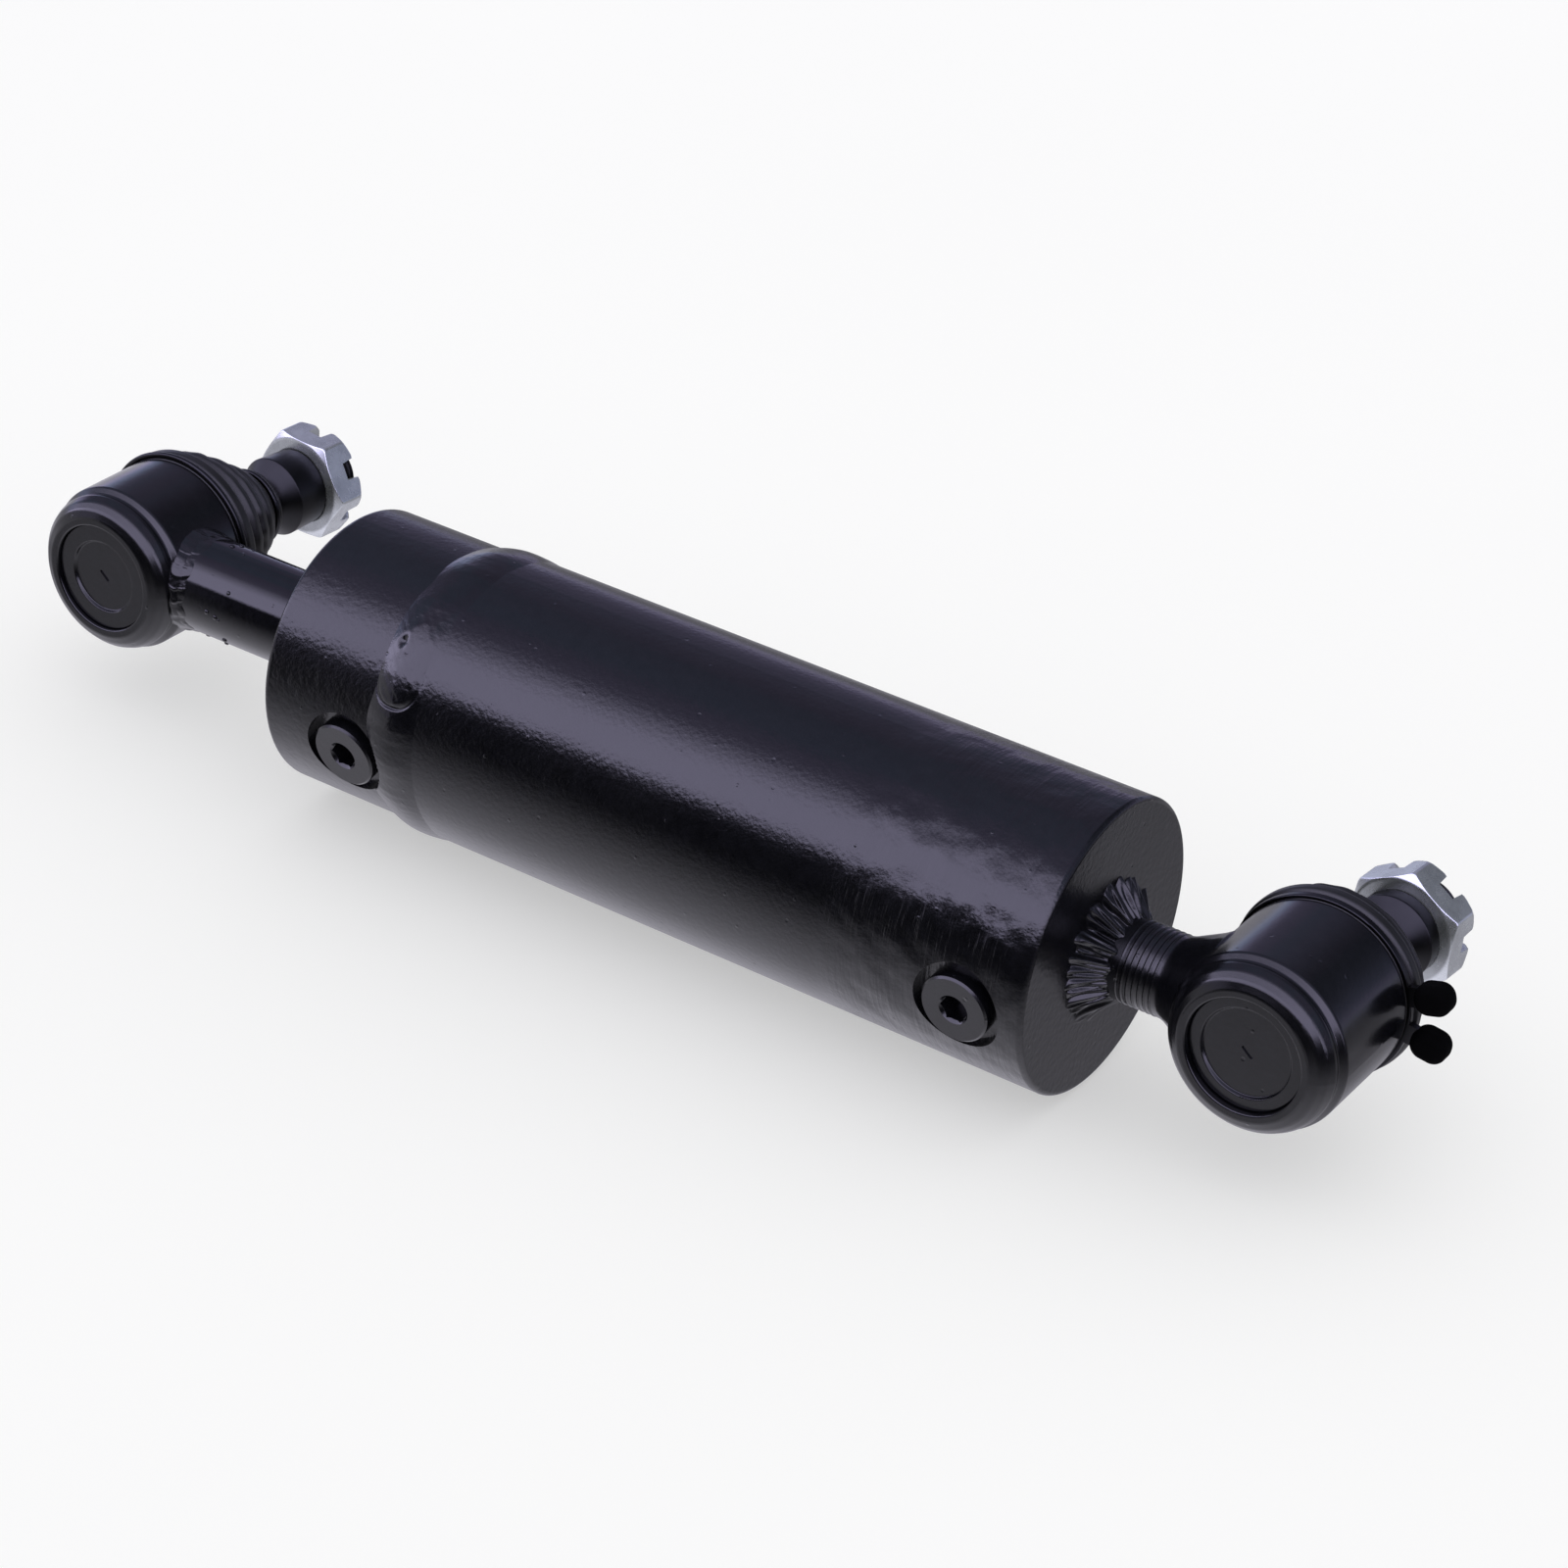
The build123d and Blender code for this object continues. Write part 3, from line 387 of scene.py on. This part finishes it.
def bead(start, finish, back, crown, ripple, pitch, wander, seed, rows=26, patch=None, fullness=0.55):
    """A weld bead round the cylinder. start, finish and back are (place along, radius) of its toes and its root.

    The toes stray by wander, the ripples are pitch apart, and patch adds to the crown's height.
    """
    turn = turns(BEAD_COLUMNS)
    edge_a, edge_b = waves(seed, 3, 17), waves(seed + 1, 3, 17)
    swell, jitter = waves(seed + 2, 4, 23), waves(seed + 3, 5, 29)
    share = np.linspace(0, 1, rows)[:, None]
    a0 = start[0] - wander * edge_a(turn)
    a1 = finish[0] + wander * edge_b(turn)
    along = a0 + (a1 - a0) * share
    radius = start[1] + (finish[1] - start[1]) * share + np.zeros_like(along)
    slope = np.array([finish[0] - np.mean(start[0]), finish[1] - start[1]])
    normal = np.array([-slope[1], slope[0]]) / np.linalg.norm(slope)
    arch = (4 * share * (1 - share)) ** fullness
    size = crown * (1 + SWELL * swell(turn))
    if patch is not None:
        size = size + patch(turn, share)
    reach = (start[1] + finish[1]) / 2
    phase = 2 * pi * turn * reach / pitch
    laps = phase[-1] / 2 / pi
    phase = phase * round(laps) / laps + JITTER * jitter(turn)
    bow = BOW * (2 * share - 1) ** 2
    ribs = np.cos(phase - bow) + OVERTONE * np.cos(2 * (phase - bow) + OVERTONE_LAG)
    lift = arch * (size + ripple * ribs * (1 + RIPPLE_SWELL * swell(turn, 2.0)))
    along = with_rings(along + normal[0] * lift, back[0])
    radius = with_rings(radius + normal[1] * lift, back[1])
    return cylinder_line, along, radius


PAINT = MATERIALS["black_paint"]

# The bead between head and tube, with the place where the welder stopped and started again
HEAD_WELD, HEAD_WELD_ROOT, HEAD_R, TUBE_R, TUBE_OUT = -226.0, 33.0, 35.5, 36.5, 37.56
HEAD_PORT_X, HEAD_PORT_TURN, HEAD_PORT_FLOOR, HEAD_PORT_R = -240.4, radians(12.5), 31.9, 11.3
PATCH_FROM, PATCH_FULL, PATCH_TO = radians(19), radians(33), radians(66)
PATCH_MIDDLE, PATCH_HALF = 0.46, 0.42  # shares of the bead's width
GROOVE_TO = radians(50)
PATCH_RISE, GROOVE_DEPTH, PIT_DEPTH, SLASH_DEPTH, ROUGHNESS = 0.44, 0.55, 0.9, 0.9, 0.05


def dent(turn, share, turn_at, share_at, turn_size, share_size):
    """A soft-edged hollow, 1 at its middle."""
    return np.exp(-(((turn - turn_at) / turn_size) ** 2) - ((share - share_at) / share_size) ** 2)


def restart_patch(turn, share):
    """The thicker run above the restart, with its rounded end on the run below, a slag pit and a slash beside it."""
    front = turn < pi
    across = np.abs((share - PATCH_MIDDLE) / PATCH_HALF) ** 2.6
    below = np.clip((PATCH_FULL - turn) / (PATCH_FULL - PATCH_FROM), 0, None) ** 2.2
    outside = across + below  # about 1 at the patch's edge
    fade = np.clip((PATCH_TO - turn) / 0.25, 0, 1)
    raised = np.clip((1.12 - outside) / 0.24, 0, 1) * fade * (turn > 0) * front
    rim = np.clip(1 - np.abs(outside - 1.25) / 0.16, 0, 1)
    groove = rim * np.clip((GROOVE_TO - turn) / 0.15, 0, 1) * front
    pit = dent(turn, share, radians(43), 0.30, 0.035, 0.06)
    slash = dent(turn, share, radians(33), 0.90, 0.06, 0.03)
    rough = ROUGHNESS * np.cos(61 * turn + 9 * share) * np.cos(23 * share + 17 * turn) * raised
    return PATCH_RISE * raised - GROOVE_DEPTH * groove - PIT_DEPTH * pit - SLASH_DEPTH * slash + rough


line, along, radius = bead(
    (HEAD_WELD - 7.5, HEAD_R - 0.25), (HEAD_WELD + 8.2, TUBE_R - 0.08), (HEAD_WELD, HEAD_WELD_ROOT),
    crown=1.3, ripple=0.012, pitch=3.1, wander=0.6, seed=11, rows=44, patch=restart_patch, fullness=1.2,
)
along[:-1] = np.maximum(along[:-1], HEAD_WELD - 9.0)
radius = np.minimum(radius, TUBE_OUT)
from_port = turns(BEAD_COLUMNS) + HEAD_PORT_TURN
side, depth = -radius * np.sin(from_port), radius * np.cos(from_port)
in_recess = ((along - HEAD_PORT_X) ** 2 + side**2 < HEAD_PORT_R**2) & (depth > 0)
recess = (HEAD_PORT_FLOOR - 0.1) / np.maximum(np.cos(from_port), 0.5)
radius = np.where(in_recess, np.minimum(radius, recess), radius)
piece("head_weld_bead", [lathe(line, along, radius)], PAINT, "barrel", "black_paint", "head_weld")

# The fillet on the cap's face: a rough run of claw-like ribs that reach out unevenly from the shank
CLAW_COLUMNS, CLAW_ROWS, CLAWS, SCRATCHES = 1100, 34, 27, 64
CLAW_TOE, CLAW_HEIGHT, CLAW_INNER, CLAW_BASE = 17.2, 6.8, 9.9, -46.2
ribs, claws = waves(71, 9, 16, 7), waves(72, 17, 31, 9)
turn = turns(CLAW_COLUMNS)
share = np.linspace(0, 1, CLAW_ROWS)[:, None]
toe = CLAW_TOE + 1.5 * ribs(turn) + claws(turn)
height = CLAW_HEIGHT + ribs(turn + 0.4)
radius = CLAW_INNER + (toe - CLAW_INNER) * share**1.15
along = CLAW_BASE + height * (1 - share) ** 1.5 + 0 * radius
relief = (4 * share * (1 - share)) ** 0.6
comb = np.cos(CLAWS * turn + 2.2 * ribs(turn) + 2.0 * share)
comb = comb + 0.7 * claws(turn, 3.0 * share) + 0.4 * np.cos(SCRATCHES * turn - 3.0 * share)
along = with_rings(along + relief * (0.62 + 0.42 * comb), -46.6, -44.0)
radius = with_rings(radius + relief * (0.30 + 0.25 * comb), 12.0, 9.4)
piece("cap_face_weld", [lathe(cylinder_line, along, radius)], PAINT, "barrel", "black_paint", "cap_joint_weld")

# The weld between the rod and its housing, with spatter on the rod beside it
ROD_BALL, ROD_R, HOUSING_R = -336.0, 12.5, 22.1
SPATTER, SPATTER_FROM, SPATTER_TO, SPATTER_RISE = 16, 27.0, 42.0, 0.62
turn = turns(BEAD_COLUMNS)
passes = []
for reach, tip, crown, seed in ((14.3, 3.0, 0.5, 51), (13.6, 4.6, 0.45, 61)):
    seam = ROD_BALL + np.sqrt(HOUSING_R**2 - (reach * np.sin(turn)) ** 2)
    start, finish, root = (seam - 1.4, reach - 1.0), (ROD_BALL + 20.5 + tip, 12.3), (ROD_BALL + 15.0, 10.0)
    passes.append(bead(start, finish, root, crown, ripple=0.06, pitch=3.4, wander=0.7, seed=seed))
draw = np.random.default_rng(7)
arc = np.linspace(0.12, pi - 0.12, 9)[:, None]
around = turns(16)[None, :]
blobs = []
for _ in range(SPATTER):
    place, angle = ROD_BALL + draw.uniform(SPATTER_FROM, SPATTER_TO), draw.uniform(0, 2 * pi)
    size = draw.uniform(0.35, 0.8)
    out = ROD_R + SPATTER_RISE * size * np.cos(arc)
    bulge_along = place + size * np.sin(arc) * np.cos(around)
    bulge_turn = angle + size * np.sin(arc) * np.sin(around) / ROD_R
    _, faces = lathe(cylinder_line, bulge_along, out + np.zeros_like(bulge_along), poles=True)
    spun = np.stack([bulge_along, -out * np.cos(bulge_turn), out * np.sin(bulge_turn)], -1).reshape(-1, 3)
    ends = np.array([[place, -r * cos(angle), r * sin(angle)] for r in (out[0, 0], out[-1, 0])])
    blobs.append((np.vstack([spun, ends]), faces))
piece("rod_weld_beads", [lathe(*p) for p in passes] + blobs, PAINT, "rod", "black_paint", "rod_joint_weld")


# ---------------------------------------------------------------- threads, studs and nuts
def swept(section, turn):
    """Grids of a section's places and radii, the same at every turn."""
    return section[:, :1] + 0 * turn, section[:, 1:] + 0 * turn


def threaded(section, columns, low, high, root, crest):
    """Grids of a turned section whose radius between low and high carries a thread."""
    turn = turns(columns)
    along, radius = swept(section, turn)
    wave = np.abs(((along / THREAD_PITCH - turn / 2 / pi) % 1.0) * 2 - 1)
    profile = root + (crest - root) * np.clip(1.35 * wave - 0.12, 0, 1)
    on = (along > low) & (along < high) & (radius > root - 0.3)
    return along, np.where(on, np.minimum(radius, profile), radius)


THREAD_PITCH = 1.5
SHANK_FROM, SHANK_TO, SHANK_CORE, SHANK_ROOT, SHANK_CREST = -37.5, -27.5, 9.6, 9.8, 10.18

shank = [(SHANK_FROM, SHANK_CORE), (SHANK_FROM, SHANK_CREST), (SHANK_TO, SHANK_CREST), (SHANK_TO, SHANK_CORE)]
along, radius = threaded(dense(shank, 0.5), 240, SHANK_FROM - 0.1, SHANK_TO + 0.1, SHANK_ROOT, SHANK_CREST)
piece("shank_thread", [lathe(cylinder_line, along, radius)], PAINT, "barrel", "black_paint")

LEAN = 4.0
BALL_R, NECK_R, FLARE, CONE_R, CONE_TAPER = 10.5, 6.5, 4.0, 10.8, 0.05
THREAD_R, THREAD_ROOT, THREAD_CREST, PAST_NUT = 9.0, 8.2, 8.98, 2.5
NUT_AF, NUT_CORNER, NUT_H, SLOT_W, SLOT_DEEP = 27.0, 15.4, 11.0, 5.0, 5.0
MERLON_DROP, MERLON_ROUND = 0.55, 1.5


def stud_grids(neck_end, nut_face):
    """The whole stud, from the bottom of its ball to its tip, with rolled threads."""
    arc = np.radians(np.linspace(-88, 51.7, 60))
    ball = np.stack([BALL_R * np.sin(arc), BALL_R * np.cos(arc)], 1)
    cone = neck_end + FLARE
    tip = nut_face + NUT_H + PAST_NUT
    shoulder = CONE_R - (nut_face - neck_end - FLARE) * CONE_TAPER
    rest = [(ball[-1, 0] + 0.3, NECK_R), (neck_end, NECK_R), (cone, CONE_R), (nut_face - 0.1, shoulder)]
    rest += [(nut_face - 0.1, THREAD_R), (tip - 1.2, THREAD_R), (tip, THREAD_R - 1.2), (tip, 2.6), (tip - 1.4, 0.8)]
    section = np.vstack([ball, dense(rest, 0.5, close=False)])
    return threaded(section, 180, nut_face + 0.5, tip - 0.9, THREAD_ROOT, THREAD_CREST)


def nut_grids(nut_face, nut_turn):
    """A slotted nut whose corners are turned back, with a rounded top to each of its six merlons."""
    start, end = nut_face, nut_face + NUT_H
    flat, bore = NUT_AF / 2, THREAD_R + 0.03
    turn = turns(432)
    face = [(start + 1.2, bore), (start, bore + 1.2), (start, flat - 0.2)]
    sides = [(start + 1.3, NUT_CORNER), (end - 2.6, NUT_CORNER), (end, flat - 1.2)]
    mouth = [(end, bore + 0.5), (end - 0.5, bore)]
    along, radius = swept(dense(face + sides + mouth, 1.2), turn)
    off = (turn + radians(nut_turn)) % (pi / 3) - pi / 6
    hexagon = flat / np.cos(off)
    radius = np.where(radius > flat - 0.6, np.minimum(radius, hexagon), radius)
    apart = np.abs(radius * np.sin(off))
    floor = end - SLOT_DEEP
    wall = np.clip((apart - SLOT_W / 2 + 0.2) / 0.35, 0, 1)
    shoulder = np.clip((SLOT_W / 2 + MERLON_ROUND - apart) / MERLON_ROUND, 0, 1) ** 2
    top = floor + (end - floor - MERLON_DROP * shoulder) * wall
    foot = floor - 1.5
    lowered = foot + (along - foot) * (top - foot) / (end - foot)
    return np.where(along > foot, lowered, along), radius


BOOT_COLUMNS, BOOT_SEED, BOOT_WALL, BOOT_FOOT_GAP = 300, 3, 2.8, 4.0
BAND_R, FOOT_BORE, CUFF_BORE = 22.0, 16.5, 6.6


def boot_grids(rear, folds, flange_r, cuff):
    """A boot's closed section swept round, with slack wrinkles between its foot and its cuff."""
    base = rear + 0.02
    cuff_start, cuff_end, cuff_r = cuff
    outside = [(base, BAND_R), (base + 1.9, BAND_R), (base + 2.1, flange_r - 0.8), (base + 2.9, flange_r)]
    outside += [(base + 5.0, flange_r), (base + 5.9, flange_r - 0.9), *folds]
    outside += [(cuff_start, cuff_r + 1.0), (cuff_start + 0.4, cuff_r), (cuff_start + 2.1, cuff_r)]
    outside += [(cuff_start + 2.4, cuff_r + 0.9), (cuff_end, cuff_r + 0.5)]
    inside = [(cuff_end, CUFF_BORE), (cuff_start - 1.5, CUFF_BORE)]
    inside += [(place - 1.0, reach - BOOT_WALL) for place, reach in reversed(folds[1:-1])]
    inside += [(base + 4.6, flange_r - 4.0), (base + 3.0, FOOT_BORE), (base, FOOT_BORE)]
    turn = turns(BOOT_COLUMNS)
    along, radius = swept(dense(outside + inside, 1.3), turn)
    middle = np.clip((along - base - 5.0) / 3.0, 0, 1) * np.clip((cuff_start - along) / 2.0, 0, 1)
    slack, tight = waves(BOOT_SEED, 1, 4, 5, 0.25), waves(BOOT_SEED + 1, 7, 21, 9, 0.5)
    radius = radius + middle * (0.28 * slack(turn, along) + 0.10 * tight(turn, along))
    return along + middle * 0.25 * slack(turn + 1.0, along), radius


# Places from each ball's centre along its stud, in mm; folds and cuff are those of the boot
ENDS = {
    "cap": dict(
        x=0.0, rear=17.4, neck_end=43.0, nut_face=51.0, nut_turn=32.0, flange=23.5,
        cuff=(37.6, 40.8, 9.0), from_body="barrel",
        folds=[(24.6, 21.6), (25.8, 21.4), (26.6, 21.8), (29.0, 19.6), (31.6, 16.0), (33.4, 13.4), (35.2, 12.6)],
    ),
    "rod": dict(
        x=ROD_BALL, rear=13.4, neck_end=44.5, nut_face=58.0, nut_turn=2.0, flange=22.9,
        cuff=(38.8, 42.2, 9.2), from_body="rod",
        folds=[
            (21.2, 19.4), (23.0, 20.6), (24.6, 20.2), (27.0, 16.6), (28.6, 17.6),
            (30.2, 17.0), (32.6, 13.4), (34.2, 14.0), (35.8, 13.2),
        ],
    ),
}
STUD_STEEL, NUT_ZINC, BOOT_RUBBER = (MATERIALS[k] for k in ("dark_stud_steel", "zinc_nut", "boot_rubber"))
for end, size in ENDS.items():
    straight = leaning_line(size["x"], LEAN)
    along, radius = stud_grids(size["neck_end"], size["nut_face"])
    stud = lathe(straight, along, radius, poles=True)
    piece(end + "_stud_turned", [stud], STUD_STEEL, end + "_stud", "dark_stud_steel", end + "_ball_stud")
    along, radius = nut_grids(size["nut_face"], size["nut_turn"])
    nut = lathe(straight, along, radius)
    piece(end + "_castle_nut", [nut], NUT_ZINC, end + "_stud", "zinc_nut", end + "_stud_nut")
    foot, full = size["rear"] + BOOT_FOOT_GAP, size["cuff"][0] - 2.0

    def lean_at(along, foot=foot, full=full):
        return LEAN * np.clip((along - foot) / (full - foot), 0, 1)

    along, radius = boot_grids(size["rear"], size["folds"], size["flange"], size["cuff"])
    rubber_skin = lathe(leaning_line(size["x"], lean_at), along, radius)
    start = Vector((size["x"], foot, 0)) * MM
    finish = Vector((size["x"] + full * sin(radians(LEAN)), full * cos(radians(LEAN)), 0)) * MM
    bodies = (size["from_body"], end + "_stud_swivel", start, finish)
    piece(end + "_boot_skin", [rubber_skin], BOOT_RUBBER, bodies, "boot_rubber", end + "_boot")


# ---------------------------------------------------------------- camera
AZIMUTH, ELEVATION, ROLL = radians(31.8), radians(31.01), radians(4.44)
EYE = Vector((314.36, -724.05, 512.1)) * MM
LENS, SENSOR, SHIFT_UP = 96.03, 36.0, 0.0213
back = Vector((sin(AZIMUTH) * cos(ELEVATION), -cos(AZIMUTH) * cos(ELEVATION), sin(ELEVATION)))
level = Vector((0, 0, 1)).cross(back).normalized()
above = back.cross(level)
right = cos(ROLL) * level + sin(ROLL) * above
up = cos(ROLL) * above - sin(ROLL) * level
camera = bpy.data.objects.new("camera", bpy.data.cameras.new("camera"))
bpy.context.scene.collection.objects.link(camera)
camera.matrix_world = Matrix.Translation(EYE) @ Matrix((right, up, back)).transposed().to_4x4()
camera.data.lens = LENS
camera.data.sensor_width = SENSOR
camera.data.shift_y = SHIFT_UP
camera.data.clip_start = 0.01
bpy.context.scene.camera = camera

# ---------------------------------------------------------------- floor and light
FLOOR_SIZE, FLOOR_GAP, FLOOR_GLOW, FLOOR_LEVELS = 6.0, 0.0002, 0.44, (0.50, 0.52)
lowest = cad_box[0][2]
bpy.ops.mesh.primitive_plane_add(size=FLOOR_SIZE, location=(0, 0, lowest - FLOOR_GAP))
floor = bpy.context.object
floor.name = "floor"
m = Material("floor")
pale = m.ramp(m.noise(m.place, 1.0 / 300.0), list(zip((0.0, 1.0), FLOOR_LEVELS)))
floor.data.materials.append(m.finish(pale, 0.9, Emission_Color=(1, 1, 1, 1), Emission_Strength=FLOOR_GLOW))
floor.visible_glossy = False

world = bpy.data.worlds.new("studio")
bpy.context.scene.world = world
world.use_nodes = True
g = Graph(world.node_tree)
x, y, z = g.split(g.add("TexCoord").outputs["Generated"])
turn = g.math("ARCTAN2", z, g.times(y, -1.0))  # 0 in front, a quarter turn overhead
share = g.add("MapRange", {"Value": turn, "From Min": -pi, "From Max": pi}).outputs[0]
# How bright the room is at each angle over the cylinder, in degrees from the front: the softbox, then the dark behind
UPPER_LEVELS = (
    (21, 0.0), (26.5, 1.0), (52, 0.95), (62, 0.62), (74, 0.20), (88, 0.14), (125, 0.08), (165, 0.09), (178, 0.14),
)
SOFTBOX, BELOW = (0.90, 0.85, 1.22, 1), (0.98, 0.96, 1.08, 1)
OVERHEAD_BLUE, OVERHEAD_VIOLET = (0.74, 0.86, 1.34, 1), (0.90, 0.82, 1.34, 1)
UPPER_STRENGTH, FLOOR_STRENGTH, BACK_STRENGTH, SIDE_STRENGTH = 3.2, 1.10, 0.25, 0.6
CORNER_DARKER, FLOOR_BEHIND_DARKER = -0.7, -0.42

upper = g.ramp(share, [((degrees + 180.0) / 360.0, level) for degrees, level in UPPER_LEVELS])
upper = g.times(upper, g.step(z, -0.03, 0.02))
corner = g.times(g.step(x, -0.25, 0.30), g.times(g.step(y, 0.2, 0.7), g.step(z, 0.15, 0.5)))
upper = g.times(upper, g.plus(1.0, g.times(corner, CORNER_DARKER)))
lower = g.times(g.step(z, -0.08, -0.90), FLOOR_STRENGTH)
lower = g.times(lower, g.plus(1.0, g.times(g.step(y, 0.0, 0.7), FLOOR_BEHIND_DARKER)))
back_wall = g.times(g.times(g.step(y, 0.1, 0.6), g.band(z, -0.35, 0.05, 0.12)), BACK_STRENGTH)
side_wall = g.times(g.times(g.step(x, -0.55, -0.68), g.band(z, -0.3, 0.2, 0.15)), SIDE_STRENGTH)
strength = g.plus(g.times(upper, UPPER_STRENGTH), lower, g.plus(back_wall, side_wall))
patches = g.step(g.noise(g.join(x, y, z), 3.2, 1.0), 0.44, 0.56)
overhead = g.mix(patches, OVERHEAD_BLUE, OVERHEAD_VIOLET)
sky = g.mix(g.step(turn, radians(62), radians(84)), SOFTBOX, overhead)
tint = g.mix(g.step(z, -0.05, 0.1), BELOW, sky)
glow = g.add("Background", {"Color": tint, "Strength": strength})
plain = g.add("Background", {"Color": (1, 1, 1, 1), "Strength": 1.0})
rays = g.add("LightPath")
pick = g.add("MixShader", {0: rays.outputs["Is Glossy Ray"], 1: plain, 2: glow})
g.add("OutputWorld", {"Surface": pick})
bpy.context.scene.view_settings.view_transform = "Standard"

# ---------------------------------------------------------------- the end
bpy.context.view_layer.update()
